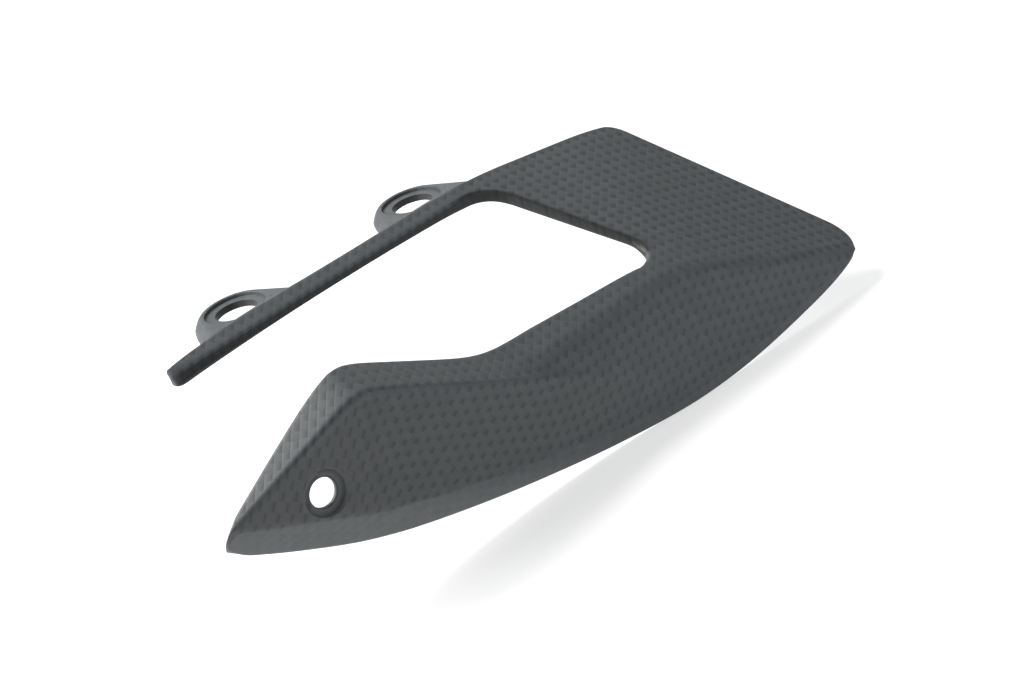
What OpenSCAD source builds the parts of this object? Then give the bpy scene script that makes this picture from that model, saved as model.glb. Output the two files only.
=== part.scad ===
// Chain guard moulded in one piece. The origin is the middle of the front ear's bolt
// hole. X runs back along the arm, Z is the axis of the bolts and the outer wall
// stands on the -Y side.

/* [Sheet] */
// Thickness of the moulded sheet
wall = 1.8; // [1.2:0.1:3]
// Blend across the fold between the top plate and the outer wall
fold_blend = 2.6; // [1:0.1:4]
// Blend along the creases of the front field
crease_blend = 1.2; // [0.5:0.1:2.5]
// Blend where the top plate changes its slope
bend_blend = 1.6; // [0.5:0.1:3]
// Blend of the valley between the plate and the front flange
valley_blend = 1.6; // [0.5:0.1:3]
// Blend where the front field twists into the rear wall
swing_blend = 3; // [1:0.1:5]

/* [Ears] */
// Distance between the two ears' bolt holes
ear_pitch = 54.5; // [44:0.5:60]
// Diameter of each ear's bolt hole
ear_bore_d = 10; // [6:0.1:11]
// Diameter of the seat sunk round each bolt hole
ear_seat_d = 15; // [12.5:0.1:15.6]
// Depth of that seat
ear_seat_depth = 0.8; // [0.3:0.1:1.5]
// Width of the rim left round the seat
ear_rim = 1.5; // [1:0.1:3]
// Thickness of an ear
ear_t = 3.4; // [3:0.1:4.5]
// Depth of the relief under the ear
ear_relief = 0.9; // [0.3:0.1:1.2]
// Reach of an ear's flanks along the arm, each side of its bolt
ear_root = 13.5; // [11:0.5:15]

/* [Arm] */
// Distance from the bolts' line to the arm's outer edge
arm_offset = 8.3; // [8:0.1:10]
// Width of the arm
arm_w = 3.9; // [3:0.1:6]
// Height of the arm's outer edge over the ears
arm_rise = 0.8; // [0:0.1:1.5]
// Reach of the arm's free tip ahead of the front bolt
arm_reach = 26.4; // [19:0.2:30]

/* [Lip] */
// Depth of the lip turned down along the arm
lip_arm = 1.5; // [1.2:0.1:4]
// Depth of the lip turned down along the back of the opening
lip_back = 3.6; // [2:0.1:6]
// Radius that turns the lip down
lip_r = 1.2; // [0.6:0.1:1.8]

/* [Top plate] */
// Slope of the plate down to the outer side, in degrees
plate_slope = 31; // [24:0.5:36]
// Where the plate starts to fall to the rear
fall_x = 66; // [62:0.5:72]
// Slope of that fall, in degrees
fall_slope = 8.3; // [4:0.1:11]
// Where the plate falls more steeply
tail_x = 107; // [98:0.5:112]
// Slope of the tail, in degrees
tail_slope = 18.4; // [12:0.1:24]
// How far the first bend swings back across the plate, in millimetres a millimetre
fall_skew = 0.36; // [0:0.02:0.6]
// How far the tail's bend swings forward across the plate
tail_skew = 0.1; // [0:0.02:0.5]
// Inner end of the plate's rear edge
rear_x = 113; // [106:0.5:120]
// Sweep of the rear edge, in degrees
rear_sweep = 30.5; // [20:0.1:36]
// Radius of the plate's inner rear corner
rear_r = 6; // [3:0.5:10]

/* [Opening] */
// Corner of the opening between the arm and the back edge
open_x = 68.6; // [58:0.1:72]
// Sweep of the opening's back edge, in degrees
open_sweep = 27.5; // [25:0.5:45]
// Radius of the corner beside the arm
open_r_in = 11; // [4:0.5:12]
// Radius of the corner beside the outer wall
open_r_out = 5; // [4:0.5:8]
// Distance of the opening's outer edge from the bolts' line, at its nearest
open_y = 46.2; // [42:0.1:48]

/* [Outer wall] */
// Distance of the fold from the bolts' line
fold_y = 55; // [52:0.5:60]
// Lean of the rear wall, in degrees
wall_lean = 18; // [8:0.5:24]
// Lean of the rear wall near its lower edge, in degrees
skirt_lean = 11; // [4:0.5:18]
// Distance of the front field from the bolts' line
field_y = 56.3; // [54:0.1:60]
// Toe of the front field, in degrees
field_toe = 2.3; // [0:0.1:5]
// Rise of the front flange towards its peak, in degrees
flange_rise = 25.4; // [18:0.2:30]
// Fall of the front flange from its peak to the nose, in degrees
flange_fall = 19; // [14:0.5:25]
// Peak of the front flange, ahead of the front bolt
peak_x = 6; // [2:0.5:12]
// Reach of the nose ahead of the front bolt
nose_reach = 47.4; // [42:0.1:54]
// Turn of the lower strip under the front field, in degrees
strip_turn = 26; // [15:1:35]

/* [Panel hole] */
// Position of the hole ahead of the front bolt
hole_x = 23.1; // [18:0.1:30]
// Depth of the hole below the ears
hole_z = 23.7; // [20:0.1:26]
// Diameter of the hole
hole_d = 6.8; // [4:0.1:9]
// Diameter of the dish round the hole
dish_d = 10.6; // [9.6:0.1:13]
// Depth of the dish
dish_depth = 0.7; // [0.3:0.1:1.2]

/* [Hidden] */
$fn = 64;
carbon = [0.30, 0.31, 0.32];

// Every facet of the outer face is a plane, kept as its outward normal and offset.
function facet(normal, point) =
    let (n = normal / norm(normal)) [n.x, n.y, n.z, n * point];

// A facet of the top, from its fall to the rear and to the outer side
function top_facet(back, out, point) = facet([back, -out, 1], point);

// A facet of the outer wall: how fast it moves outboard to the rear and with height
function wall_facet(back, up, point) = facet([-back, -1, -up], point);

crest = [0, -arm_offset, arm_rise];
side_slope = tan(plate_slope);
fall = tan(fall_slope);
tail = tan(tail_slope);
tail_drop = fall * (tail_x - fall_x);

plate_front = top_facet(0, side_slope, crest);
plate_fall = top_facet(fall, side_slope - fall_skew * fall, crest + [fall_x, 0, 0]);
plate_tail = top_facet(tail, side_slope + tail_skew * tail, crest + [tail_x, 0, -tail_drop]);

fold_z = arm_rise - side_slope * (fold_y - arm_offset);
lean = tan(wall_lean);
skirt_drop = 14;
wall_rear = wall_facet(0, -lean, [0, -fold_y, fold_z]);
wall_skirt = wall_facet(0, -tan(skirt_lean), [0, -fold_y - lean * skirt_drop, fold_z - skirt_drop]);

valley_x = 36;
open_z = arm_rise - side_slope * (open_y - arm_offset);
rise = tan(flange_rise);
// Slopes of the flange to the outer side, behind and ahead of its peak
flange_side = [0.575, 0.45];
flange_back = top_facet(rise, flange_side[0], [valley_x, -open_y, open_z]);
peak_z = open_z + rise * (valley_x + peak_x);
flange_front = top_facet(-tan(flange_fall), flange_side[1], [-peak_x, -open_y, peak_z]);

field_slope = tan(field_toe);
field = wall_facet(field_slope, 0, [0, -field_y, 0]);
swing_x = 51;
swing_slope = 0.165;
swing = wall_facet(swing_slope, 0, [swing_x, -field_y - field_slope * swing_x, 0]);

// The lower strip turns in from the keel, a bent line under the field. Its two parts
// pass through these points and climb to the nose at these rates.
keel_front = [-22, -field_y + 0.9, -30.6];
keel_back = [18, -field_y - 0.7, -45.2];
keel_climb = [0.45, 0.3];
strip_low = tan(strip_turn);
strip_front = wall_facet(field_slope + keel_climb[0] * strip_low, strip_low, keel_front);
strip_back = wall_facet(field_slope + keel_climb[1] * strip_low, strip_low, keel_back);

// Smooth minimum and maximum: two facets meet in a rounded edge as wide as blend
function soft_min(a, b, blend) =
    let (h = max(blend - abs(a - b), 0) / blend) min(a, b) - h * h * blend / 4;
function soft_max(a, b, blend) = -soft_min(-a, -b, blend);

// The surface is found along rays that fan out round an axis inside the guard.
axis_y = -10;
axis_z = -60;
far = 400;
least_slant = 0.04;
function ray(angle) = [0, -sin(angle), cos(angle)];
function reach(f, x, angle, inset) =
    let (n = [f.x, f.y, f.z], along = n * ray(angle))
    along < least_slant ? far : min(far, (f[3] - inset - n * [x, axis_y, axis_z]) / along);

function rear_body(x, angle, inset) =
    let (a = reach(plate_front, x, angle, inset),
         b = reach(plate_fall, x, angle, inset),
         c = reach(plate_tail, x, angle, inset),
         w = reach(wall_rear, x, angle, inset),
         s = reach(wall_skirt, x, angle, inset),
         f = reach(field, x, angle, inset),
         g = reach(swing, x, angle, inset),
         roof = soft_min(soft_min(a, b, bend_blend), c, bend_blend),
         side = soft_min(soft_min(w, s, bend_blend), soft_max(f, g, swing_blend), swing_blend))
    soft_min(roof, side, fold_blend);

function front_body(x, angle, inset) =
    let (b = reach(flange_back, x, angle, inset),
         e = reach(flange_front, x, angle, inset),
         d = reach(field, x, angle, inset))
    soft_min(soft_min(b, e, bend_blend), d, crease_blend);

function lower_strip(x, angle, inset) =
    soft_min(reach(strip_front, x, angle, inset), reach(strip_back, x, angle, inset), bend_blend);

function skin(x, angle, inset, front) =
    let (rear = rear_body(x, angle, inset),
         whole = front ? soft_max(rear, front_body(x, angle, inset), valley_blend) : rear,
         r = front ? soft_min(whole, lower_strip(x, angle, inset), crease_blend) : whole)
    [x, axis_y, axis_z] + r * ray(angle);

// Angle of the ray that meets a point, the top over a plan point, the wall at a
// height, or the edge where two facets cross
function angle_to(y, z) = atan2(axis_y - y, z - axis_z);
function plane_z(f, p, inset) = (f[3] - inset - f.x * p.x - f.y * p.y) / f.z;
function plane_out(f, x, z, inset) = -(f[3] - inset - f.x * x - f.z * z) / f.y;
function top_z(p, front, inset = 0) =
    let (rear = min([for (f = [plate_front, plate_fall, plate_tail]) plane_z(f, p, inset)]),
         ahead = min(plane_z(flange_back, p, inset), plane_z(flange_front, p, inset)))
    front ? max(rear, ahead) : rear;
function top_angle(p, front, inset) = angle_to(p.y, top_z(p, front, inset));
function wall_angle(x, z, inset) =
    let (rear = min(plane_out(wall_rear, x, z, inset), plane_out(wall_skirt, x, z, inset)),
         d = max(plane_out(field, x, z, inset), plane_out(swing, x, z, inset)),
         f = min(plane_out(strip_front, x, z, inset), plane_out(strip_back, x, z, inset)))
    angle_to(-min(rear, d, f), z);
function crease(f, g, x, inset) =
    let (a = f[3] - inset - f.x * x, b = g[3] - inset - g.x * x, det = f.y * g.z - g.y * f.z)
    angle_to((a * g.z - b * f.z) / det, (f.y * b - g.y * a) / det);
function fold_angle(x, inset) =
    max(crease(plate_front, wall_rear, x, inset), crease(plate_fall, wall_rear, x, inset),
        crease(plate_tail, wall_rear, x, inset));
function ridge_angle(x, inset) =
    max(crease(flange_back, field, x, inset), crease(flange_front, field, x, inset),
        crease(wall_rear, swing, x, inset));
function keel_angle(x, inset) =
    min(crease(field, strip_front, x, inset), crease(field, strip_back, x, inset));

// A smooth line through points: the wall's lower edge as heights along X, and the
// opening's outer edge as distances beyond its nearest point
function through(p, x, k = 1) =
    k < len(p) - 3 && x > p[k + 1].x ? through(p, x, k + 1) :
    let (w = p[k + 1].x - p[k].x, t = (x - p[k].x) / w,
         m = (p[k + 1].y - p[k - 1].y) / (p[k + 1].x - p[k - 1].x) * w,
         n = (p[k + 2].y - p[k].y) / (p[k + 2].x - p[k].x) * w)
    (2 * pow(t, 3) - 3 * t * t + 1) * p[k].y + (pow(t, 3) - 2 * t * t + t) * m
        + (3 * t * t - 2 * pow(t, 3)) * p[k + 1].y + (pow(t, 3) - t * t) * n;
bow = [[-62, -18], [-47.7, -25.9], [-31, -34.8], [-14, -42.2], [11, -48.7], [38, -53.1],
       [64, -55.2], [88, -55.0], [109, -53], [128, -49.7], [150, -42]];
function bow_at(x) = through(bow, x);
bulge = [[-70, 11.2], [-48, 7.3], [-14, 1.2], [-4, 1.3], [18, 2.2],
         [26, 2.1], [33, 0.6], [40, 0.1], [82, 2.7], [100, 3.8]];
function edge_y(x) = -open_y - through(bulge, x);

function mix(a, b, t) = a + (b - a) * t;
function arc(c, r, from, to, t) = c + r * [cos(mix(from, to, t)), sin(mix(from, to, t))];
function curve(a, b, c, t) = mix(mix(a, b, t), mix(b, c, t), t);

// Plan of the opening: the arm, the swept back edge and the outer edge, which has
// moved out by corner_out at the rear corner
arm_in = arm_offset + arm_w;
corner_out = 2.7;
back_dir = [sin(open_sweep), -cos(open_sweep)];
corner_a = [open_x, -arm_in];
corner_b = corner_a + back_dir * (open_y + corner_out - arm_in) / cos(open_sweep);
turn_a = 90 - open_sweep;
turn_b = 90 + open_sweep;
tangent_a = open_r_in * tan(turn_a / 2);
tangent_b = open_r_out * tan(turn_b / 2);
centre_a = corner_a - [tangent_a, open_r_in];
centre_b = corner_b + [-tangent_b, open_r_out];

// Plan of the plate's rear edge. It ends heel_short before the fold and curves round
// a knee to the heel, where it meets the outer wall.
heel_short = 5;
heel_knee = 6;
heel_ahead = 2.6;
heel_beyond = 5;
rear_dir = [sin(rear_sweep), -cos(rear_sweep)];
corner_c = [rear_x, -arm_offset];
turn_c = 90 - rear_sweep;
tangent_c = rear_r * tan(turn_c / 2);
centre_c = corner_c - [tangent_c, rear_r];
rear_y = fold_y - heel_short;
rear_end = corner_c + rear_dir * (rear_y - arm_offset) / cos(rear_sweep);
heel_x = rear_end.x - heel_ahead;
heel = [heel_x, -fold_y - heel_beyond];

// A station of the loft holds the opening's edge point, the way into the opening,
// the depth and the thickness of the lip, whether the front flange takes part, the
// plan point where the top ends and, once the outer wall has begun, its lower edge
arm_steps = 12;
tip_crowd = 0.3;
corner_steps = 7;
back_steps = 10;
heel_steps = 5;
round_share = 0.4;
round_steps = 12;

// The arm narrows ahead of thin_from and rounds off over tip_len to its tip. Its lip
// is shallowest between the ears and dies out at the tip.
tip_x = -arm_reach;
tip_len = arm_w + 3;
tip_least = wall * 1.15;
thin_from = 10;
thin_rate = 0.001;
lip_rate = 0.0007;
lip_fade = 0.6;
lip_least = wall * 0.6 + 0.4;

// The lip is shallower at the opening's outer corner, rolls over more widely there
// and fades to the plain edge of the outer side.
lip_corner = lip_back * 0.75;
corner_roll = 1.2;
edge_lip = wall * 1.5 + 0.2;
edge_t = [wall * 0.4, 0.3];

function ease(u) = sqrt(1 - pow(1 - min(1, max(0, u)), 2));
function arm_lip(x) =
    max(lip_least, min(lip_arm + lip_rate * pow(x - ear_pitch / 2, 2), lip_least + lip_fade * (x - tip_x)));
arm_stations = [for (i = [0:arm_steps - 1])
    let (t = i / arm_steps,
         x = mix(tip_x, corner_a.x - tangent_a, t * mix(tip_crowd, 1, t)),
         taper = arm_w - thin_rate * pow(max(0, thin_from - x), 2),
         y = -arm_in + mix(tip_least, taper, ease((x - tip_x) / tip_len)))
    [[x, -arm_in], [0, -1], arm_lip(x), [wall, lip_r], false, [x, y]]];
fan_stations = [for (i = [0:corner_steps - 1])
    let (t = i / corner_steps,
         a = arc(centre_a, open_r_in, 90, 90 - turn_a, t),
         x = mix(corner_a.x - tangent_a, corner_c.x - tangent_c, pow(t, 1.15)))
    [a, (centre_a - a) / open_r_in, mix(arm_lip(corner_a.x), lip_back, t), [wall, lip_r],
     false, [x, -arm_offset]]];
back_stations = [for (i = [0:back_steps + heel_steps - 1])
    let (t = i / (back_steps + heel_steps),
         a = mix(corner_a + back_dir * tangent_a, corner_b - back_dir * tangent_b, t),
         u = i / back_steps,
         b = u < round_share ? arc(centre_c, rear_r, 90, 90 - turn_c, u / round_share)
           : u < 1 ? mix(corner_c + rear_dir * tangent_c, rear_end, (u - round_share) / (1 - round_share))
           : curve(rear_end, rear_end + rear_dir * heel_knee, heel, (i - back_steps) / heel_steps))
    [a, [-cos(open_sweep), -sin(open_sweep)], mix(lip_back, lip_corner, t), [wall, lip_r], false, b]];

wall_x = corner_b.x - tangent_b;
heel_gap = 0.3;
round_stations = [for (i = [0:round_steps - 1])
    let (t = i / round_steps,
         a = arc(centre_b, open_r_out, 90 - turn_a, 90 - turn_a - turn_b, t),
         x = mix(heel_x - heel_gap, wall_x, t),
         fade = max(0, 1.5 * t - 0.5),
         roll = lip_r + corner_roll * sin(180 * t))
    [a, (centre_b - a) / open_r_out, mix(lip_corner, edge_lip, fade), mix([wall, roll], edge_t, fade), false,
     [x, 0], [x, bow_at(x)]]];

nose_x = -nose_reach;
nose_len = 5.5;
nose_least = 0.15;
nose_thin = 0.35;
valley_half = 1.5;
peak_span = [2, -3];
stops = [wall_x, swing_x, valley_x + valley_half, valley_x - valley_half, peak_span[0] - peak_x,
         peak_span[1] - peak_x, nose_x + nose_len, nose_x];
steps = [7, 5, 3, 9, 5, 7, 8];
wall_xs = concat([for (k = [0:len(steps) - 1], i = [0:steps[k] - 1])
    let (t = i / steps[k]) mix(stops[k], stops[k + 1], k == len(steps) - 1 ? sin(90 * t) : t)], [nose_x]);
wall_stations = [for (x = wall_xs)
    [[x, edge_y(x)], [0, 1], 0, edge_t, true, [x, 0], [x, bow_at(x)]]];
stations = concat(arm_stations, fan_stations, back_stations, round_stations, wall_stations);
side_from = arm_steps + corner_steps + back_steps + heel_steps;

function nose_squeeze(x) = mix(nose_least, 1, ease((x - nose_x) / nose_len));
function nose_middle(s, top_angle) = mix(top_angle, wall_angle(s[5].x, s[6].y, 0), 0.5);

// The edges that a wall station runs over, as points [x, angle]; towards the nose
// they draw together round its middle. Where an edge runs out, its line keeps a share
// of the way between its neighbours.
least_share = 0.1;
keel_share = 0.2;
fold_share = 0.76;
ridge_most = 0.65;
low_share = 0.75;
function runs(s, top_angle, inset) =
    let (x = s[5].x, low_0 = wall_angle(x, s[6].y, inset), e = nose_squeeze(x), mid = nose_middle(s, top_angle),
         ridge_0 = min(ridge_angle(x, inset), mix(top_angle, low_0, low_share)),
         fold_0 = min(fold_angle(x, inset), s[4] ? mix(top_angle, ridge_0, fold_share) : low_0 - keel_share),
         ridge_1 = max(min(ridge_0, mix(fold_0, low_0, ridge_most)), mix(fold_0, low_0, least_share)),
         valley_0 = max(min(crease(wall_rear, flange_back, x, inset), mix(fold_0, ridge_1, 1 - least_share)),
                        mix(fold_0, ridge_1, least_share)),
         keel_0 = max(min(keel_angle(x, inset), mix(ridge_1, low_0, low_share)),
                      mix(ridge_1, low_0, keel_share)))
    [for (v = [fold_0, valley_0, ridge_1, keel_0, low_0]) [x, mix(mid, v, e)]];

// Points across one station: the lip, the top, then the fields of the outer wall.
// Along the front flange the lip gives way to a plain edge, square to the sheet.
lip_cols = 3;
top_cols = 8;
side_cols = [3, 3, 5, 3];
edge_bevel = 0.35;
edge_depth = [[0.45, -0.16], [0.6, 0.13]];
top_bias = 1.5;
function smooth(t) = (1 - cos(180 * t)) / 2;
function lip_points(s, start, a, inset) =
    let (into = s[1],
         r = s[3][1],
         high = top_z(s[0], false),
         slope = (high - top_z(a, false)) / r,
         bottom = high - s[2])
    inset > 0
    ? [for (j = [0:lip_cols - 1]) [start.x, start.y, mix(bottom, start.z, j / lip_cols)]]
    : [for (j = [0:lip_cols - 1])
        let (turn = 90 * (1 - (j - 1) / (lip_cols - 1)), out = r * (j == 0 ? 1 : sin(turn)))
        [start.x + into.x * out, start.y + into.y * out,
         j == 0 ? bottom : start.z + slope * out - r * (1 - cos(turn))]];
function edge_points(x, angle, layer, thick) =
    [for (j = [0:lip_cols - 1]) skin(x, angle, thick * edge_depth[layer] * [1, j], true)];
function across(s, layer) =
    let (front = s[4],
         thick = front ? wall * mix(nose_thin, 1, ease((s[5].x - nose_x) / nose_len)) : wall,
         inset = layer * thick,
         a = front ? s[0] : s[0] - s[1] * s[3][inset > 0 ? 0 : 1],
         plain = top_angle(a, front, front ? 0 : inset),
         run = len(s) > 6 ? runs(s, plain, inset)
             : [[s[5].x, min(top_angle(s[5], false, inset), fold_angle(s[5].x, inset))]],
         angle = front ? mix(nose_middle(s, plain), plain, nose_squeeze(a.x)) : plain,
         first = angle + (front ? edge_bevel : 0),
         start = skin(a.x, first, inset, front))
    concat(
        front ? edge_points(a.x, angle, layer, thick) : lip_points(s, start, a, inset),
        [for (j = [0:top_cols])
            let (t = 1 - pow(1 - j / top_cols, top_bias))
            skin(mix(a.x, run[0].x, t), mix(first, run[0][1], t), inset, front)],
        len(run) == 1 ? [] : [for (k = [0:len(side_cols) - 1], j = [1:side_cols[k]])
            let (t = smooth(j / side_cols[k]))
            skin(mix(run[k].x, run[k + 1].x, t), mix(run[k][1], run[k + 1][1], t), inset, front)]);

rows = len(stations);
top_width = lip_cols + top_cols;
full_width = top_width + side_cols * [1, 1, 1, 1];
outer = [for (s = stations) each across(s, 0)];
inner = [for (s = stations) each across(s, 1)];
function at(layer, i, j) = layer * len(outer) + j
    + (i < side_from ? i * (top_width + 1) : side_from * (top_width + 1) + (i - side_from) * (full_width + 1));
function quad(a, b, c, d) = [[a, c, b], [a, d, c]];

cells = [for (i = [0:rows - 2], j = [0:(i < side_from ? top_width : full_width) - 1]) [i, j]];
rim = concat(
    [for (i = [0:rows - 1]) [i, 0]],
    [for (j = [1:full_width]) [rows - 1, j]],
    [for (i = [rows - 2:-1:side_from]) [i, full_width]],
    [for (j = [full_width - 1:-1:top_width]) [side_from, j]],
    [for (i = [side_from - 1:-1:0]) [i, top_width]],
    [for (j = [top_width - 1:-1:1]) [0, j]]);
sheet_faces = concat(
    [for (c = cells)
        each quad(at(0, c[0], c[1]), at(0, c[0] + 1, c[1]), at(0, c[0] + 1, c[1] + 1), at(0, c[0], c[1] + 1))],
    [for (c = cells)
        each quad(at(1, c[0], c[1]), at(1, c[0], c[1] + 1), at(1, c[0] + 1, c[1] + 1), at(1, c[0] + 1, c[1]))],
    [for (k = [0:len(rim) - 1])
        let (p = rim[k], q = rim[(k + 1) % len(rim)])
        each quad(at(0, p[0], p[1]), at(1, p[0], p[1]), at(1, q[0], q[1]), at(0, q[0], q[1]))]);

module sheet() {
    polyhedron(points = concat(outer, inner), faces = sheet_faces, convexity = 8);
}

hole_y = -field_y + field_slope * hole_x;
pad_rim = 1.2;
dish_taper = 1.3;
clear = 3;
pad_r = dish_d / 2 + pad_rim;
pad_depth = wall + dish_depth / 2;

module hole_pad() {
    translate([-hole_x, hole_y + wall / 2, -hole_z])
        rotate([-90, 0, 0])
        cylinder(r = pad_r, h = pad_depth - wall / 2);
}

module hole_cuts() {
    translate([-hole_x, hole_y, -hole_z])
        rotate([-90, 0, 0]) {
            translate([0, 0, -clear])
                cylinder(d = hole_d, h = pad_depth + 2 * clear);
            cylinder(d1 = dish_d, d2 = dish_d - 2 * dish_taper, h = dish_depth);
            translate([0, 0, -clear])
                cylinder(d = dish_d, h = clear + 0.01);
        }
}

// An ear's flanks reach into the arm so that the two are one piece
ear_bury = 0.8;

module ear_blank() {
    r = ear_seat_d / 2 + ear_rim;
    foot_y = -arm_offset - ear_bury;
    reach_len = norm([ear_root, foot_y]);
    lean_angle = atan2(ear_root, -foot_y) + acos(r / reach_len);
    touch = [r * sin(lean_angle), -r * cos(lean_angle)];
    translate([0, 0, -ear_t]) {
        cylinder(r = r, h = ear_t);
        linear_extrude(ear_t)
            polygon([[-ear_root, foot_y], [ear_root, foot_y], touch, [-touch.x, touch.y]]);
    }
}

module ear_cuts() {
    translate([0, 0, -ear_t - 1])
        cylinder(d = ear_bore_d, h = ear_t + 2);
    translate([0, 0, -ear_seat_depth])
        cylinder(d = ear_seat_d, h = ear_seat_depth + 2);
    translate([0, 0, -ear_t - 1])
        cylinder(d = ear_seat_d, h = 1 + ear_relief);
}

// The guard is drawn from the ears' top face and lifted so that the middle of their
// bolt holes lies on the origin
bore_middle = (ear_t + ear_seat_depth - ear_relief) / 2;

module guard_shell() {
    color(carbon)
    translate([0, 0, bore_middle])
    difference() {
        union() {
            sheet();
            ear_blank();
            translate([ear_pitch, 0, 0])
                ear_blank();
            hole_pad();
        }
        ear_cuts();
        translate([ear_pitch, 0, 0])
            ear_cuts();
        hole_cuts();
    }
}

guard_shell();
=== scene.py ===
import math

import bpy
from mathutils import Matrix, Vector


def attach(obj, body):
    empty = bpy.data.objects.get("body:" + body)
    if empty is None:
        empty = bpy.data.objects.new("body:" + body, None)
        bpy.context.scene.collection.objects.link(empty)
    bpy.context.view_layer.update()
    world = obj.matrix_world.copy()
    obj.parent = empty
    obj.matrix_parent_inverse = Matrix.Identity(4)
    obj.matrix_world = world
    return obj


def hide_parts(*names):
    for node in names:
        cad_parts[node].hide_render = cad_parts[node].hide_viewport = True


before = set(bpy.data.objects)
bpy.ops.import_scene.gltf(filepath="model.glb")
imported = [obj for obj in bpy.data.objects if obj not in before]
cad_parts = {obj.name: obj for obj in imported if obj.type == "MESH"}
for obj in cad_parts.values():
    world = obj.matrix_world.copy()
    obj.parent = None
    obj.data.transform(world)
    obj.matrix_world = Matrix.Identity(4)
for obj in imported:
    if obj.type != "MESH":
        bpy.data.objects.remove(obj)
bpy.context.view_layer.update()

# Lengths below are millimetres from the front ear's top face; lift brings the
# middle of its bolt hole to the origin.
milli = 0.001
lift = 1.65
# Millimetres of cloth to one uv unit.
clothUnit = 10


def deselect():
    if bpy.context.mode != "OBJECT":
        bpy.ops.object.mode_set(mode="OBJECT")
    bpy.ops.object.select_all(action="DESELECT")


def activate(piece):
    deselect()
    piece.select_set(True)
    bpy.context.view_layer.objects.active = piece


def edit(piece):
    activate(piece)
    bpy.ops.object.mode_set(mode="EDIT")
    bpy.ops.mesh.select_all(action="SELECT")


def objectMode():
    bpy.ops.object.mode_set(mode="OBJECT")


def applyModifiers(piece):
    activate(piece)
    for modifier in list(piece.modifiers):
        bpy.ops.object.modifier_apply(modifier=modifier.name)


def addPiece(name):
    piece = bpy.context.active_object
    piece.name = name
    piece.data.name = name
    return piece


# Every facet of the outer face is a plane, kept as outward normal and offset.
def facet(normal, point):
    n = Vector(normal).normalized()
    return (n.x, n.y, n.z, n.dot(Vector(point)))


def topFacet(back, out, point):
    return facet((back, -out, 1), point)


def wallFacet(back, up, point):
    return facet((-back, -1, -up), point)


def tangent(angle):
    return math.tan(math.radians(angle))


arm = {
    "offset": 8.3,  # outer edge from the bolts' line
    "width": 3.9,
    "rise": 0.8,  # outer edge over the ears' top faces
    "reach": 26.4,  # free tip ahead of the front bolt
    "taper": 0.001,  # narrowing ahead of taperX, by the square of the distance
    "taperX": 10,
    "lip": 1.5,
    "lipGrow": 0.0007,  # deeper away from the middle between the ears
    "tipLip": 2.5,
    "tipLipRate": 0.6,
    "tipRound": 5,  # length of the tip's rounding, past one width of the arm
    "tipWidth": 1.1,  # of the wall
    "tipFill": 0.7,  # thickening that closes the tip
    "tipRoll": 1.2,  # wider rolling of its edge
    "tipRun": 8,  # length over which both fade
    "earOut": 0.9,  # swelling beside each ear
    "earSpread": 9,
    "steps": 26,
    "crowd": 0.3,  # first step, of an even one
}
plate = {
    "slope": 31,
    "fallX": 66,
    "fallSlope": 8.3,
    "tailX": 107,
    "tailSlope": 18.4,
    "fallSkew": 0.36,
    "tailSkew": 0.1,
    "rearX": 113,
    "rearSweep": 30.5,
    "rearRadius": 6,
    "rearShort": 5,  # the straight rear edge ends this far before the fold
    "kneeLength": 6,  # and turns down over this length
    "heelIn": 2.6,  # the heel's place: ahead of the rear edge's end, and past the fold
    "heelPast": 5,
    "heelStart": 0.3,
    "heelOut": 1.5,  # its bulge to the rear, dying out over heelRows stations
    "heelRows": 7,
    "heelCurve": 1.5,  # and down the wall
    "backSteps": 22,
    "cornerShare": 0.4,  # of backSteps, round the rear corner
    "heelSteps": 8,
}
opening = {
    "x": 68.6,
    "y": 46.2,
    "sweep": 27.5,
    "radiusIn": 11,
    "radiusOut": 6,
    "cornerOut": 2.7,  # rear outer corner past the outer edge
    "lip": 3.6,
    "lipCorner": 2.7,
    "lipLeast": 1.48,
    "lipEnd": 1.1,  # past the wall's thickness
    "fadeRate": 1.5,  # the lip dies out over the last 1 / fadeRate of that corner
    "lipRadius": 1.2,
    "cornerRoll": 1.2,
    "edgeThick": 0.4,  # of the wall, where the lip has died out
    "edgeRadius": 0.3,
    "bulge": [(-70, 11.2), (-48, 7.4), (-20, 2.4), (-8, 1.25), (0, 1.4), (12, 2.1),
              (22, 2.6), (27, 2.35), (32, 1.4), (37, 0.55), (42, 0.35), (50, 0.8),
              (64, 1.7), (82, 2.7), (100, 3.8)],
    "innerSteps": 12,
    "innerCrowd": 1.15,
    "outerSteps": 22,
}
side = {
    "wall": 1.8,
    "foldY": 55,
    "lean": 18,
    "skirtLean": 11,
    "skirtDrop": 14,
    "fieldY": 56.3,
    "toe": 2.3,
    "rise": 25.4,
    "riseCant": 0.575,  # the flange's fall to the outer side, behind its peak
    "fall": 19,
    "fallCant": 0.45,  # and ahead of it
    "valleyX": 36,
    "peakX": 6,
    "swingX": 51,
    "swingSlope": 0.165,
    "stripTurn": 26,
    # the strip's two facets: backward turn, and a point by x, way out of the field, z
    "strips": [(0.45, -22, 0.9, -30.6), (0.30, 18, -0.7, -45.2)],
    "noseReach": 47.4,
    "noseLength": 5.5,
    "noseLeast": 0.15,
    "noseThin": 0.35,
    "bow": [(-62, -18), (-47.7, -25.9), (-31, -34.8), (-14, -42.2), (11, -48.7), (38, -53.1),
            (64, -55.2), (88, -55.0), (109, -53), (128, -49.7), (150, -42)],
    "steps": [12, 9, 6, 14, 9, 12, 14],
    "valleyHalf": 1.5,  # closer steps this far each side of the valley
    "peakBehind": 2,  # and from behind the peak
    "peakAhead": 3,  # to ahead of it
}
blend = {"fold": 2.6, "crease": 1.2, "bend": 1.6, "peak": 4, "valley": 2.6, "swing": 3}

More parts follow.
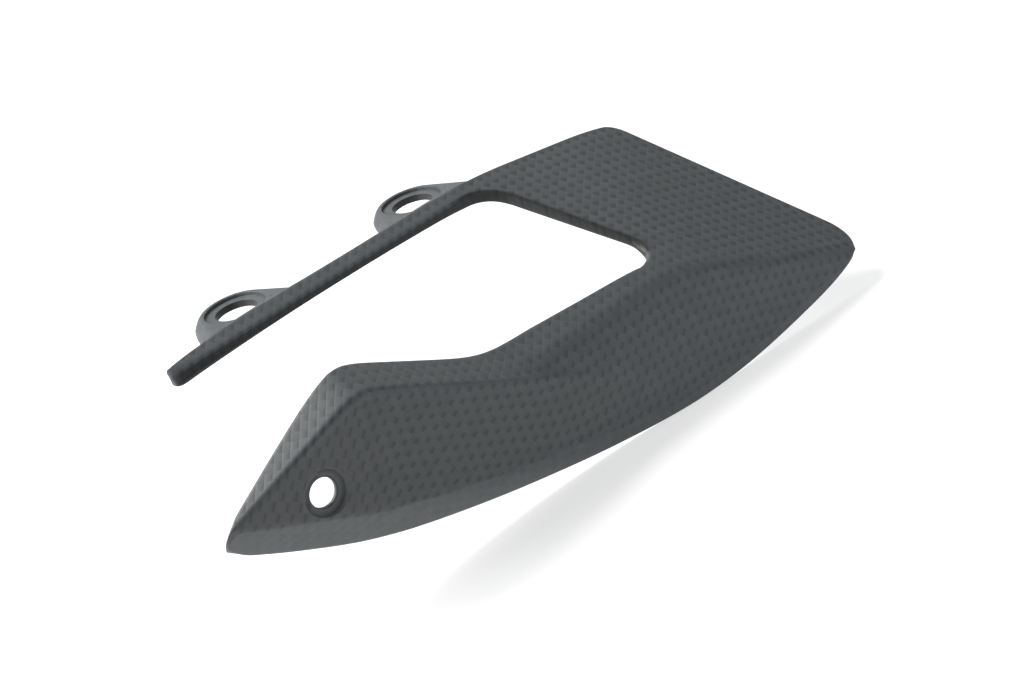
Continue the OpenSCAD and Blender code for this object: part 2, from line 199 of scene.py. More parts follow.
crest = Vector((0, -arm["offset"], arm["rise"]))
sideSlope = tangent(plate["slope"])
fallRate = tangent(plate["fallSlope"])
tailRate = tangent(plate["tailSlope"])
tailDrop = fallRate * (plate["tailX"] - plate["fallX"])
plateFront = topFacet(0, sideSlope, crest)
plateFall = topFacet(fallRate, sideSlope - plate["fallSkew"] * fallRate,
                     crest + Vector((plate["fallX"], 0, 0)))
plateTail = topFacet(tailRate, sideSlope + plate["tailSkew"] * tailRate,
                     crest + Vector((plate["tailX"], 0, -tailDrop)))

foldZ = arm["rise"] - sideSlope * (side["foldY"] - arm["offset"])
lean = tangent(side["lean"])
wallRear = wallFacet(0, -lean, (0, -side["foldY"], foldZ))
wallSkirt = wallFacet(0, -tangent(side["skirtLean"]),
                      (0, -side["foldY"] - lean * side["skirtDrop"], foldZ - side["skirtDrop"]))
openZ = arm["rise"] - sideSlope * (opening["y"] - arm["offset"])
rise = tangent(side["rise"])
flangeBack = topFacet(rise, side["riseCant"], (side["valleyX"], -opening["y"], openZ))
peakZ = openZ + rise * (side["valleyX"] + side["peakX"])
flangeFront = topFacet(-tangent(side["fall"]), side["fallCant"],
                       (-side["peakX"], -opening["y"], peakZ))
toe = tangent(side["toe"])
field = wallFacet(toe, 0, (0, -side["fieldY"], 0))
swing = wallFacet(side["swingSlope"], 0,
                  (side["swingX"], -side["fieldY"] - toe * side["swingX"], 0))
stripLow = tangent(side["stripTurn"])
stripFront, stripBack = [wallFacet(toe + back * stripLow, stripLow, (x, -side["fieldY"] + out, z))
                         for back, x, out, z in side["strips"]]


def softMin(a, b, width):
    h = max(width - abs(a - b), 0) / width
    return min(a, b) - h * h * width / 4


def softMax(a, b, width):
    return -softMin(-a, -b, width)


# The surface is found along rays that fan out round an axis inside the guard.
axisY = -10
axisZ = -60
grazing = 0.04
far = 400


def reach(f, x, ray, inset):
    along = f[1] * ray[0] + f[2] * ray[1]
    if along < grazing:
        return far
    return min(far, (f[3] - inset - f[0] * x - f[1] * axisY - f[2] * axisZ) / along)


def skin(x, angle, inset, front):
    turned = math.radians(angle)
    ray = (-math.sin(turned), math.cos(turned))

    def hit(f):
        return reach(f, x, ray, inset)

    roof = softMin(hit(plateFront), hit(plateFall), blend["bend"])
    roof = softMin(roof, hit(plateTail), blend["bend"])
    swung = softMax(hit(field), hit(swing), blend["swing"])
    outer = softMin(hit(wallRear), hit(wallSkirt), blend["bend"])
    outer = softMin(outer, swung, blend["swing"])
    r = softMin(roof, outer, blend["fold"])
    if front:
        flange = softMin(hit(flangeBack), hit(flangeFront), blend["peak"])
        flange = softMin(flange, hit(field), blend["crease"])
        r = softMax(r, flange, blend["valley"])
        strip = softMin(hit(stripFront), hit(stripBack), blend["bend"])
        r = softMin(r, strip, blend["crease"])
    return Vector((x, axisY + r * ray[0], axisZ + r * ray[1]))


def angleTo(y, z):
    return math.degrees(math.atan2(axisY - y, z - axisZ))


def planeZ(f, x, y, inset=0):
    return (f[3] - inset - f[0] * x - f[1] * y) / f[2]


def planeOut(f, x, z, inset):
    return -(f[3] - inset - f[0] * x - f[2] * z) / f[1]


def topZ(x, y, front, inset=0):
    rear = min(planeZ(f, x, y, inset) for f in (plateFront, plateFall, plateTail))
    ahead = min(planeZ(flangeBack, x, y, inset), planeZ(flangeFront, x, y, inset))
    return max(rear, ahead) if front else rear


def topAngle(x, y, front, inset):
    return angleTo(y, topZ(x, y, front, inset))


def wallAngle(x, z, inset):
    rear = min(planeOut(wallRear, x, z, inset), planeOut(wallSkirt, x, z, inset))
    ahead = max(planeOut(field, x, z, inset), planeOut(swing, x, z, inset))
    strip = min(planeOut(stripFront, x, z, inset), planeOut(stripBack, x, z, inset))
    return angleTo(-min(rear, ahead, strip), z)


def crease(f, g, x, inset):
    a = f[3] - inset - f[0] * x
    b = g[3] - inset - g[0] * x
    det = f[1] * g[2] - g[1] * f[2]
    return angleTo((a * g[2] - b * f[2]) / det, (f[1] * b - g[1] * a) / det)


def foldAngle(x, inset):
    return max(crease(f, wallRear, x, inset) for f in (plateFront, plateFall, plateTail))


def ridgeAngle(x, inset):
    return max(crease(flangeBack, field, x, inset), crease(flangeFront, field, x, inset),
               crease(wallRear, swing, x, inset))


def keelAngle(x, inset):
    return min(crease(field, stripFront, x, inset), crease(field, stripBack, x, inset))


# A smooth line through points.
def through(points, x):
    k = 1
    while k < len(points) - 3 and x > points[k + 1][0]:
        k += 1
    (ax, ay), (bx, by), (cx, cy), (dx, dy) = points[k - 1:k + 3]
    w = cx - bx
    t = (x - bx) / w
    m = (cy - ay) / (cx - ax) * w
    n = (dy - by) / (dx - bx) * w
    return ((2 * t ** 3 - 3 * t * t + 1) * by + (t ** 3 - 2 * t * t + t) * m
            + (3 * t * t - 2 * t ** 3) * cy + (t ** 3 - t * t) * n)


def bowAt(x):
    return through(side["bow"], x)


def mix(a, b, t):
    return a + (b - a) * t


def ease(u):
    return math.sqrt(1 - (1 - min(1, max(0, u))) ** 2)


def arc(centre, radius, start, end, t):
    turned = math.radians(mix(start, end, t))
    return centre + radius * Vector((math.cos(turned), math.sin(turned)))


# Stations of the loft, each with the opening's edge point, the way into the opening,
# the lip's depth, its thickness and radius, and where the top and the wall end.
def station(edge, into, lip, thick, radius, front, far, low=None):
    return {"edge": Vector(edge), "into": Vector(into), "lip": lip, "thick": thick,
            "radius": radius, "front": front, "far": far, "low": low, "heel": 0}


armEdge = arm["offset"] + arm["width"]
tipX = -arm["reach"]
backTurn = math.radians(opening["sweep"])
backWay = Vector((math.sin(backTurn), -math.cos(backTurn)))
rearTurn = math.radians(plate["rearSweep"])
rearWay = Vector((math.sin(rearTurn), -math.cos(rearTurn)))

# The opening's corner beside the arm, the one beside the wall and the plate's rear one.
innerCorner = Vector((opening["x"], -armEdge))
backLength = (opening["y"] + opening["cornerOut"] - armEdge) / math.cos(backTurn)
outerCorner = innerCorner + backWay * backLength
rearCorner = Vector((plate["rearX"], -arm["offset"]))
innerTurn = 90 - opening["sweep"]
outerTurn = 90 + opening["sweep"]
rearCornerTurn = 90 - plate["rearSweep"]
innerTangent = opening["radiusIn"] * tangent(innerTurn / 2)
outerTangent = opening["radiusOut"] * tangent(outerTurn / 2)
rearTangent = plate["rearRadius"] * tangent(rearCornerTurn / 2)
rearLength = (side["foldY"] - plate["rearShort"] - arm["offset"]) / math.cos(rearTurn)
rearEnd = rearCorner + rearWay * rearLength
heelX = rearEnd.x - plate["heelIn"]
wallX = outerCorner.x - outerTangent


def armLip(x):
    # deeper towards both ends, and shallow again at the very tip
    deep = arm["lip"] + arm["lipGrow"] * (x - ears["pitch"] / 2) ** 2
    return max(opening["lipLeast"], min(deep, arm["tipLip"] + arm["tipLipRate"] * (x - tipX)))


def armStations():
    found = []
    for i in range(arm["steps"]):
        t = i / arm["steps"]
        x = mix(tipX, innerCorner.x - innerTangent, t * (arm["crowd"] + (1 - arm["crowd"]) * t))
        # in plan the tip is rounded like a spoon
        taper = arm["width"] - arm["taper"] * max(0, arm["taperX"] - x) ** 2
        rounded = ease((x - tipX) / (arm["width"] + arm["tipRound"]))
        y = -armEdge + mix(side["wall"] * arm["tipWidth"], taper, rounded)
        y += arm["earOut"] * sum(math.exp(-((x - at) / arm["earSpread"]) ** 2)
                                 for at in (0, ears["pitch"]))
        # the lip thickens until it fills the corner under the tip, and its edge
        # rolls over more widely there
        near = max(0, 1 - (x - tipX) / arm["tipRun"])
        found.append(station((x, -armEdge), (0, -1), armLip(x),
                             side["wall"] + arm["tipFill"] * near,
                             opening["lipRadius"] + arm["tipRoll"] * near, False, (x, y)))
    return found


def innerStations():
    centre = innerCorner - Vector((innerTangent, opening["radiusIn"]))
    found = []
    for i in range(opening["innerSteps"]):
        t = i / opening["innerSteps"]
        a = arc(centre, opening["radiusIn"], 90, 90 - innerTurn, t)
        x = mix(innerCorner.x - innerTangent, rearCorner.x - rearTangent,
                t ** opening["innerCrowd"])
        found.append(station(a, (centre - a) / opening["radiusIn"],
                             mix(armLip(innerCorner.x), opening["lip"], t),
                             side["wall"], opening["lipRadius"], False, (x, -arm["offset"])))
    return found


def backStations():
    centre = rearCorner - Vector((rearTangent, plate["rearRadius"]))
    heel = Vector((heelX, -side["foldY"] - plate["heelPast"]))
    knee = rearEnd + rearWay * plate["kneeLength"]
    share = plate["cornerShare"]
    steps = plate["backSteps"] + plate["heelSteps"]
    found = []
    for i in range(steps):
        a = mix(innerCorner + backWay * innerTangent, outerCorner - backWay * outerTangent,
                i / steps)
        u = i / plate["backSteps"]
        if u < share:
            b = arc(centre, plate["rearRadius"], 90, 90 - rearCornerTurn, u / share)
        elif u < 1:
            b = mix(rearCorner + rearWay * rearTangent, rearEnd, (u - share) / (1 - share))
        else:
            t = (i - plate["backSteps"]) / plate["heelSteps"]
            b = mix(mix(rearEnd, knee, t), mix(knee, heel, t), t)
        found.append(station(a, (-math.cos(backTurn), -math.sin(backTurn)),
                             mix(opening["lip"], opening["lipCorner"], i / steps),
                             side["wall"], opening["lipRadius"], False, b))
    return found


def outerStations():
    # round the corner beside the wall the lip dies out
    wall = side["wall"]
    centre = outerCorner + Vector((-outerTangent, opening["radiusOut"]))
    found = []
    for i in range(opening["outerSteps"]):
        t = i / opening["outerSteps"]
        a = arc(centre, opening["radiusOut"], 90 - innerTurn, 90 - innerTurn - outerTurn, t)
        x = mix(heelX - plate["heelStart"], wallX, t)
        fade = max(0, opening["fadeRate"] * t - (opening["fadeRate"] - 1))
        roll = opening["lipRadius"] + opening["cornerRoll"] * math.sin(math.pi * t)
        made = station(a, (centre - a) / opening["radiusOut"],
                       mix(opening["lipCorner"], wall + opening["lipEnd"], fade),
                       mix(wall, wall * opening["edgeThick"], fade),
                       mix(roll, opening["edgeRadius"], fade), False, (x, 0), bowAt(x))
        made["heel"] = plate["heelOut"] * max(0, 1 - i / plate["heelRows"]) ** 2
        found.append(made)
    return found


def wallStations():
    noseX = -side["noseReach"]
    stops = [wallX, side["swingX"], side["valleyX"] + side["valleyHalf"],
             side["valleyX"] - side["valleyHalf"], side["peakBehind"] - side["peakX"],
             -side["peakX"] - side["peakAhead"], noseX + side["noseLength"], noseX]
    xs = []
    for k, count in enumerate(side["steps"]):
        for i in range(count):
            t = i / count
            if k == len(side["steps"]) - 1:
                t = math.sin(math.radians(90 * t))  # closer towards the nose's end
            xs.append(mix(stops[k], stops[k + 1], t))
    return [station((x, -opening["y"] - through(opening["bulge"], x)), (0, 1), 0,
                    side["wall"] * opening["edgeThick"], opening["edgeRadius"],
                    True, (x, 0), bowAt(x))
            for x in xs + [noseX]]


def noseWay(x):
    # 0 at the nose's end, 1 from where the nose starts
    return ease((x + side["noseReach"]) / side["noseLength"])


def noseSqueeze(x):
    return mix(side["noseLeast"], 1, noseWay(x))


def noseMiddle(s, angle):
    return mix(angle, wallAngle(s["far"][0], s["low"], 0), 0.5)


# The lines that a wall station runs over: fold, valley, ridge, keel and lower edge.
# Each stays between two others, by the least and most shares of the way between them.
spread = {
    "ridge": (0.1, 0.65),  # from the fold to the lower edge
    "valley": (0.1, 0.9),  # from the fold to the ridge
    "keel": (0.2, 0.75),  # from the ridge to the lower edge
    "ridgeMost": 0.75,  # from the front edge to the lower edge
    "foldMost": 0.76,  # from the front edge to the ridge
    "foldGap": 0.2,  # degrees above the lower edge
}


def between(value, first, last, limits):
    least, most = limits
    return max(min(value, mix(first, last, most)), mix(first, last, least))


def runs(s, angle, inset):
    x = s["far"][0]
    low = wallAngle(x, s["low"], inset)
    ridge = min(ridgeAngle(x, inset), mix(angle, low, spread["ridgeMost"]))
    last = mix(angle, ridge, spread["foldMost"]) if s["front"] else low - spread["foldGap"]
    fold = min(foldAngle(x, inset), last)
    ridge = between(ridge, fold, low, spread["ridge"])
    valley = between(crease(wallRear, flangeBack, x, inset), fold, ridge, spread["valley"])
    keel = between(keelAngle(x, inset), ridge, low, spread["keel"])
    middle = noseMiddle(s, angle)
    return [(x, mix(middle, v, noseSqueeze(x))) for v in (fold, valley, ridge, keel, low)]


# Columns of faces across the sheet: over the lip, the top and each strip of the wall.
columns = {
    "lip": 6,
    "top": 16,
    "side": [6, 6, 10, 6],
    "bevel": 0.35,  # degrees round the front edge
    "crowd": 1.5,  # closer columns towards the fold
    "settle": 5,  # tries that put the front edge on its line
    # the front edge's rounding on each skin, as shares of the wall
    "edge": [(0.45, 0.06), (0.6, 0.9)],
}
topEnd = columns["lip"] + columns["top"]
sheetEnd = topEnd + sum(columns["side"])


def lipPoints(s, start, a, inset):
    count = columns["lip"]
    r = s["radius"]
    high = topZ(s["edge"].x, s["edge"].y, False)
    slope = (high - topZ(a.x, a.y, False)) / r
    bottom = high - s["lip"]
    if inset > 0:
        return [Vector((start.x, start.y, mix(bottom, start.z, j / count))) for j in range(count)]
    points = []
    for j in range(count):
        turned = math.radians(90 * (1 - (j - 1) / (count - 1)))
        out = r * (1 if j == 0 else math.sin(turned))
        z = bottom if j == 0 else start.z + slope * out - r * (1 - math.cos(turned))
        points.append(Vector((start.x + s["into"].x * out, start.y + s["into"].y * out, z)))
    return points


def edgePoints(x, angle, layer, thick):
    count = columns["lip"]
    first, last = columns["edge"][layer]
    return [skin(x, angle, thick * mix(first, last, j / (count - 1)), True) for j in range(count)]


def across(s, layer):
    front = s["front"]
    x = s["edge"].x
    thick = side["wall"]
    if front:
        thick *= mix(side["noseThin"], 1, noseWay(s["far"][0]))
    inset = layer * thick
    a = s["edge"].copy()
    if not front:
        a -= s["into"] * (s["thick"] if layer else s["radius"])
    plain = topAngle(a.x, a.y, front, 0 if front else inset)
    if s["low"] is None:
        farX, farY = s["far"]
        run = [(farX, min(topAngle(farX, farY, False, inset), foldAngle(farX, inset)))]
    else:
        run = runs(s, plain, inset)
    if front:
        # the edge keeps its own line in plan on the blended surface
        for k in range(columns["settle"]):
            plain = angleTo(a.y, skin(a.x, plain, 0, True).z)
    angle = mix(noseMiddle(s, plain), plain, noseSqueeze(x)) if front else plain
    first = angle + (columns["bevel"] if front else 0)
    start = skin(a.x, first, inset, front)
    points = edgePoints(a.x, angle, layer, thick) if front else lipPoints(s, start, a, inset)
    for j in range(columns["top"] + 1):
        t = 1 - (1 - j / columns["top"]) ** columns["crowd"]
        p = skin(mix(a.x, run[0][0] + s["heel"], t), mix(first, run[0][1], t), inset, front)
        p.z = min(p.z, arm["rise"] - inset)
        points.append(p)
    if len(run) > 1:
        low = run[-1][1]
        for k, count in enumerate(columns["side"]):
            for j in range(1, count + 1):
                t = (1 - math.cos(math.pi * j / count)) / 2
                turned = mix(run[k][1], run[k + 1][1], t)
                # the wall's rear end rounds forward as it goes down from the fold
                left = (low - turned) / (low - run[0][1])
                back = s["heel"] * left ** plate["heelCurve"]
                points.append(skin(run[k][0] + back, turned, inset, front))
    return points


# The cloth lies along the guard: U runs back, V is the way across the sheet from
# the fold, so that the weave turns over the fold unbroken.
def clothPlace(points):
    slope = math.cos(math.radians(plate["slope"]))
    places = []
    for j, p in enumerate(points):
        if j <= topEnd:
            places.append((p.x, (p.y + side["foldY"]) / slope))
        else:
            before = places[-1]
            step = p - points[j - 1]
            places.append((p.x, before[1] - math.hypot(step.y, step.z)))
    return places


def makeSheet():
    found = armStations() + innerStations() + backStations()
    narrow = len(found)  # up to here a station has no wall
    found += outerStations() + wallStations()
    deselect()
    bpy.ops.mesh.primitive_grid_add(x_subdivisions=len(found) - 1, y_subdivisions=sheetEnd, size=2)
    piece = addPiece("guardSheet")
    mesh = piece.data
    for part in list(mesh.edges) + list(mesh.polygons):
        part.select = False
    kept = []  # station and column of each vertex that stays
    for v in mesh.vertices:
        i = round((v.co.x + 1) / 2 * (len(found) - 1))
        j = round((v.co.y + 1) / 2 * sheetEnd)
        v.select = i < narrow and j > topEnd
        if not v.select:
            kept.append((i, j))
    print("grid", len(found), "x", sheetEnd + 1, "kept", len(kept), "vertices")
    activate(piece)
    bpy.ops.object.mode_set(mode="EDIT")
    bpy.ops.mesh.select_mode(type="VERT")
    bpy.ops.mesh.delete(type="VERT")
    objectMode()

    # Solidify lays the second skin and the rim. The fold, the valley and the twist
    # between the facets are then set point by point on both skins, because no
    # edit of flat panels gives a moulded sheet whose creases run out like these.
    solid = piece.modifiers.new("Solidify", "SOLIDIFY")
    solid.thickness = side["wall"] * milli
    solid.offset = -1
    applyModifiers(piece)
    layers = [[across(s, layer) for s in found] for layer in (0, 1)]
    places = [clothPlace(points) for points in layers[0]]
    for v in mesh.vertices:
        layer, k = divmod(v.index, len(kept))
        i, j = kept[k]
        p = layers[layer][i][j]
        v.co = (p.x * milli, p.y * milli, (p.z + lift) * milli)
    uv = mesh.uv_layers[0] if mesh.uv_layers else mesh.uv_layers.new(name="cloth")
    uv.name = "cloth"
    for loop in mesh.loops:
        i, j = kept[loop.vertex_index % len(kept)]
        uv.data[loop.index].uv = (places[i][j][0] / clothUnit, places[i][j][1] / clothUnit)
    markSheet(mesh, found, kept, narrow)
    edit(piece)
    bpy.ops.mesh.normals_make_consistent(inside=False)
    objectMode()
    smooth = piece.modifiers.new("Subdivision", "SUBSURF")
    smooth.levels = 1
    smooth.render_levels = 1
    applyModifiers(piece)
    return piece


# Painted shade and painted light on the sheet by place: above 0 darker, below 0 lighter.
paintedShadeAndLight = {
    # painted shade on the lip's face turned down into the opening, lighter at the arm's tip
    "lipStart": 0.2,  # the face turned down into the opening, from the arm's tip
    "lipGrow": 0.3,
    # painted highlight along the arm's outer rim
    "rimHighlight": -0.5,
    "rimColumns": 5,
    # painted light on the strip below the keel, which faces down
    "strip": -0.2,
    # painted shade on the field, deeper towards the nose
    "field": 0.06,
    "nose": 0.2,
    "noseFrom": 30,
    "noseRun": 60,
    # how strongly the weave's painted shade shows along the sheet
    "ovalFrom": 2,  # the ovals come in from this many stations before the arm's end
    "ovalRun": 8,
    "ovalLeast": 0.25,
}


# "shade" is that painted shade and light, and "ovalShade" how strongly the weave's painted shade
# shows as dark ovals: on the plate, less on the wall, and below 0 where the cloth looks plain.
def markSheet(mesh, found, kept, narrow):
    shadeMark = mesh.attributes.new("shade", "FLOAT", "POINT")
    ovalMark = mesh.attributes.new("ovalShade", "FLOAT", "POINT")
    ridge = topEnd + sum(columns["side"][:2])
    keel = topEnd + sum(columns["side"][:3])
    for v in mesh.vertices:
        i, j = kept[v.index % len(kept)]
        outside = v.index < len(kept)
        onArm = i < arm["steps"]
        depth = columns["lip"] // 2 if onArm else columns["lip"] - 1
        tone = 0.0
        # painted shade on the lip's face turned into the opening
        if outside and i < narrow + opening["outerSteps"] // 2 and j <= depth:
            tone = min(1, paintedShadeAndLight["lipStart"] + paintedShadeAndLight["lipGrow"] * i)
        # painted highlight along the arm's outer rim
        elif outside and onArm and j > topEnd - paintedShadeAndLight["rimColumns"]:
            tone = paintedShadeAndLight["rimHighlight"]
        # painted light on the strip below the keel
        elif i > narrow and j > keel:
            tone = paintedShadeAndLight["strip"]
        # painted shade on the field, deeper towards the nose
        elif i > narrow and j > ridge:
            ahead = (paintedShadeAndLight["noseFrom"] - found[i]["edge"].x) / paintedShadeAndLight["noseRun"]
            tone = paintedShadeAndLight["field"] + paintedShadeAndLight["nose"] * min(1, max(0, ahead))
        shadeMark.data[v.index].value = tone
        # how strongly the weave's painted shade shows; below the keel the cloth looks plain
        clear = min(1, max(0, (i - arm["steps"] + paintedShadeAndLight["ovalFrom"]) / paintedShadeAndLight["ovalRun"]))
        if i > narrow:
            clear = max(paintedShadeAndLight["ovalLeast"], 1 - (i - narrow) / opening["outerSteps"])
        if j > keel:
            clear = -1
        ovalMark.data[v.index].value = clear


# Hole through the front of the wall, with its dish.
panelHole = {
    "x": -23.1,
    "z": -23.7,
    "radius": 3.4,
    "dish": 5.3,
    "dishFloor": 4.0,
    "dishDepth": 0.7,
    "dishBevel": 0.1,
    "dishFlare": 1.2,
    "bevel": 0.25,
    "wallDepth": 2.15,
    "flare": 0.2,  # widening behind the wall
    "behind": 6,
    "before": 1,
    "sides": 96,
}


def makeHoleCutter():
    # turned from a circle that is extruded and resized ring by ring
    h = panelHole
    bevel = h["bevel"]
    floorZ = -h["dishDepth"]
    rings = [(h["radius"] + h["flare"], -h["behind"]), (h["radius"], -h["wallDepth"] - h["flare"]),
             (h["radius"], floorZ - bevel), (h["radius"] + bevel, floorZ), (h["dishFloor"], floorZ),
             (h["dish"] - h["dishBevel"], -bevel), (h["dish"] + bevel, 0),
             (h["dish"] + h["dishFlare"], h["before"])]
    deselect()
    bpy.ops.mesh.primitive_circle_add(vertices=h["sides"], radius=rings[0][0] * milli,
                                      fill_type="NGON")
    piece = addPiece("holeCutter")
    edit(piece)
    bpy.ops.transform.translate(value=(0, 0, rings[0][1] * milli))
    for (r, z), (nextR, nextZ) in zip(rings, rings[1:]):
        move = {"value": (0, 0, (nextZ - z) * milli)}
        bpy.ops.mesh.extrude_region_move(TRANSFORM_OT_translate=move)
        bpy.ops.transform.resize(value=(nextR / r, nextR / r, 1),
                                 center_override=(0, 0, nextZ * milli))
    bpy.ops.mesh.select_all(action="SELECT")
    bpy.ops.mesh.normals_make_consistent(inside=False)
    # its axis lies along Y, and it stands on the field
    bpy.ops.transform.rotate(value=math.radians(-90), orient_axis="X", center_override=(0, 0, 0))
    place = (h["x"], -side["fieldY"] + toe * -h["x"], h["z"] + lift)
    bpy.ops.transform.translate(value=[c * milli for c in place])
    objectMode()
    return piece


def cut(piece, cutter):
    modifier = piece.modifiers.new("Boolean", "BOOLEAN")
    modifier.operation = "DIFFERENCE"
    modifier.solver = "EXACT"
    modifier.object = cutter
    applyModifiers(piece)
    bpy.data.objects.remove(cutter)


# Ears: rings of points joined ring to ring.
ears = {
    "pitch": 54.5,
    "rim": 9,
    "root": 13.5,
    "foot": -9.1,
    "seat": 7.5,
    "seatDepth": 0.8,
    "bore": 5,
    "thick": 3.4,
    "relief": 0.9,
    "bevel": 0.2,  # at the underside
    "flare": 2.1,  # widening of the flanks along the arm
    # the flank's rings: shrinking, share of the flare, height over the top face
    "flank": [(0.4, 0.85, -3.2), (0.1, 1, -2.7), (0, 0.9, -2.0), (0, 0.6, -1.3),
              (0.05, 0.25, -0.6), (0.25, 0, -0.2), (0.7, 0, 0)],
    "underside": (0.9, 0.6),
    # roundings of the seat's and the bore's edges: out, shoulder, down
    "seatEdge": (0.3, 0.08, 0.3),
    "boreEdge": (0.25, 0.06, 0.3),
    "points": 128,
    "tone": -0.05,
    "seatTone": 0,
    "seatMargin": 0.02,
    "markDepth": 0.2,  # the seat's tone starts this far below the top face
    # painted shade inside the bore
    "boreShade": 0.9,
    "boreMargin": 0.2,
    "clothShift": 64,
}
nearly = 1e-6


def earOutline(shrink, share):
    # The ear in plan: round over the bolt, then straight flanks down to the arm.
    # The flare widens it along the arm only.
    r = ears["rim"] - shrink
    root = ears["root"] - shrink
    foot = ears["foot"]
    turned = math.atan2(root, -foot) + math.acos(r / math.hypot(root, foot))
    touch = Vector((r * math.sin(turned), -r * math.cos(turned)))
    found = []
    for k in range(ears["points"]):
        angle = 2 * math.pi * k / ears["points"]
        way = Vector((math.cos(angle), math.sin(angle)))
        # where the ray from the bolt leaves the outline
        best = r
        for sign in (1, -1):
            a = Vector((sign * touch.x, touch.y))
            along = Vector((sign * root, foot)) - a
            normal = Vector((-along.y * sign, along.x * sign))
            down = way.dot(normal)
            if down > nearly:
                t = a.dot(normal) / down
                hit = way * t
                if hit.y <= touch.y + nearly and hit.x * sign >= 0:
                    best = t
        if way.y < 0 and best * way.y < foot:
            best = foot / way.y
        found.append(Vector((way.x * best + ears["flare"] * share * way.x, way.y * best)))
    return found


def roundedEdge(radius, z, sizes):
    out, shoulder, down = sizes
    return [(radius + out, z), (radius + shoulder, z - shoulder), (radius, z - down)]


def earRings():
    bottom = -ears["thick"]
    under = bottom + ears["relief"]
    seat, bore, floorZ = ears["seat"], ears["bore"], -ears["seatDepth"]
    rings = [(earOutline(shrink, share), z) for shrink, share, z in ears["flank"]]
    rings += roundedEdge(seat, 0, ears["seatEdge"]) + [(seat, floorZ)]
    rings += roundedEdge(bore, floorZ, ears["boreEdge"]) + [(bore, under), (seat, under)]
    rings += [(seat, bottom + ears["bevel"]), (seat + ears["bevel"], bottom)]
    return rings + [(earOutline(*ears["underside"]), bottom)]


def makeRing(shape, x, z):
    # shape is a radius, or the points of an outline
    deselect()
    bpy.ops.mesh.primitive_circle_add(vertices=ears["points"], radius=1, location=(0, 0, 0))
    ring = bpy.context.active_object
    for v in ring.data.vertices:
        angle = math.atan2(v.co.y, v.co.x) % (2 * math.pi)
        if isinstance(shape, list):
            place = shape[round(angle / (2 * math.pi) * ears["points"]) % ears["points"]]
        else:
            place = Vector((math.cos(angle), math.sin(angle))) * shape
        v.co = ((x + place.x) * milli, place.y * milli, (z + lift) * milli)
    return ring


def copyOf(piece):
    activate(piece)
    bpy.ops.object.duplicate()
    return bpy.context.active_object


def makeEar(name, x):
    rings = [makeRing(shape, x, z) for shape, z in earRings()]
    bands = []
    for first, second in zip(rings, rings[1:] + rings[:1]):
        lower = copyOf(first)
        upper = copyOf(second)
        lower.select_set(True)
        upper.select_set(True)
        bpy.context.view_layer.objects.active = lower
        bpy.ops.object.join()
        edit(lower)
        bpy.ops.mesh.bridge_edge_loops()
        objectMode()
        bands.append(lower)
    for ring in rings:
        bpy.data.objects.remove(ring)
    activate(bands[0])
    for band in bands:
        band.select_set(True)
    bpy.ops.object.join()
    piece = addPiece(name)
    edit(piece)
    bpy.ops.mesh.remove_doubles(threshold=0.00001)
    bpy.ops.mesh.normals_make_consistent(inside=False)
    objectMode()
    markEar(piece.data, x)
    return piece


def markEar(mesh, x):
    # plain cloth, with painted shade darkening the inside of the bore
    ovalMark = mesh.attributes.new("ovalShade", "FLOAT", "POINT")
    shadeMark = mesh.attributes.new("shade", "FLOAT", "POINT")
    for v in mesh.vertices:
        out = math.hypot(v.co.x / milli - x, v.co.y / milli)
        tone = ears["tone"]
        deep = lift - v.co.z / milli > ears["markDepth"]
        if out < ears["bore"] + ears["boreMargin"]:
            tone = ears["boreShade"]
        elif out < ears["seat"] + ears["seatMargin"] and deep:
            tone = ears["seatTone"]
        shadeMark.data[v.index].value = tone
        ovalMark.data[v.index].value = -1
    uv = mesh.uv_layers.new(name="cloth")
    for loop in mesh.loops:
        p = mesh.vertices[loop.vertex_index].co / milli
        uv.data[loop.index].uv = (p.x / clothUnit, (p.y + ears["clothShift"]) / clothUnit)


smoothAngle = 35


def smoothShade(piece):
    activate(piece)
    bpy.ops.object.shade_smooth_by_angle(angle=math.radians(smoothAngle))


# Matt carbon laminate: a plain weave laid at 45 degrees, with pillowed tows, painted shade in dark
# ovals and in dips between the tows, painted highlights on the tows' other edges, and a light dry
# film over it.
weave = {
    "colour": (0.056, 0.062, 0.066),
    "tow": 2.0,
    "turn": 45,
    "drift": 0.05,  # how far the tows wander, and how often
    "driftScale": 0.9,
    # strengths of the painted shade in the ovals, the dives and the roots, and of the painted
    # highlights on the rises and crowns
    "ovalShadeDark": 0.3,
    "ovalFlat": 1.35,
    "diveShade": 0.48,
    "rootShade": 0.1,
    "edgeHighlight": 0.1,
    "shadeDark": 0.75,
    # the dips here are the weave's painted shade
    "plain": 0.7,  # share of the dips that is lost where the cloth looks plain
    "flat": 0.55,  # and on top, where the light falls into them
    "cell": (0.85, 0.16),  # least tone of a tow, and how much it varies
    "strand": (0.9, 14),  # fine filaments: scale along a tow and across it
    "strandTone": 0.12,
    "strandRough": 0.14,
    "strandRelief": 0.06,
    "rough": 0.45,
    "specular": 0.42,
    "coat": 0.06,
    "bump": 0.3,
    "height": 0.14,
    # where each painted mark of shade and highlight starts and ends, in half tows from the middle
    # of a tow
    "ovalShade": (1.25, 0.2),
    "dive": (-0.45, 0.6),
    "diveEnd": (1.0, 0.8),
    "rise": (-0.7, -1.0),
    "crown": (0.72, 0.95),
    "root": (-0.72, -0.98),
    # the ovals' painted shade is kept to faces turned up, where the dips' painted shade is weaker
    "upward": (0.5, 0.82),  # upward share of the face's normal
    # power and share by which a tow sinks along its length and to its sides
    "lengthWise": (1.6, 0.85),
    "sideWise": (2.2, 0.45),
    "inside": (2.5, 0.8),  # and a dip dies out beside it
}


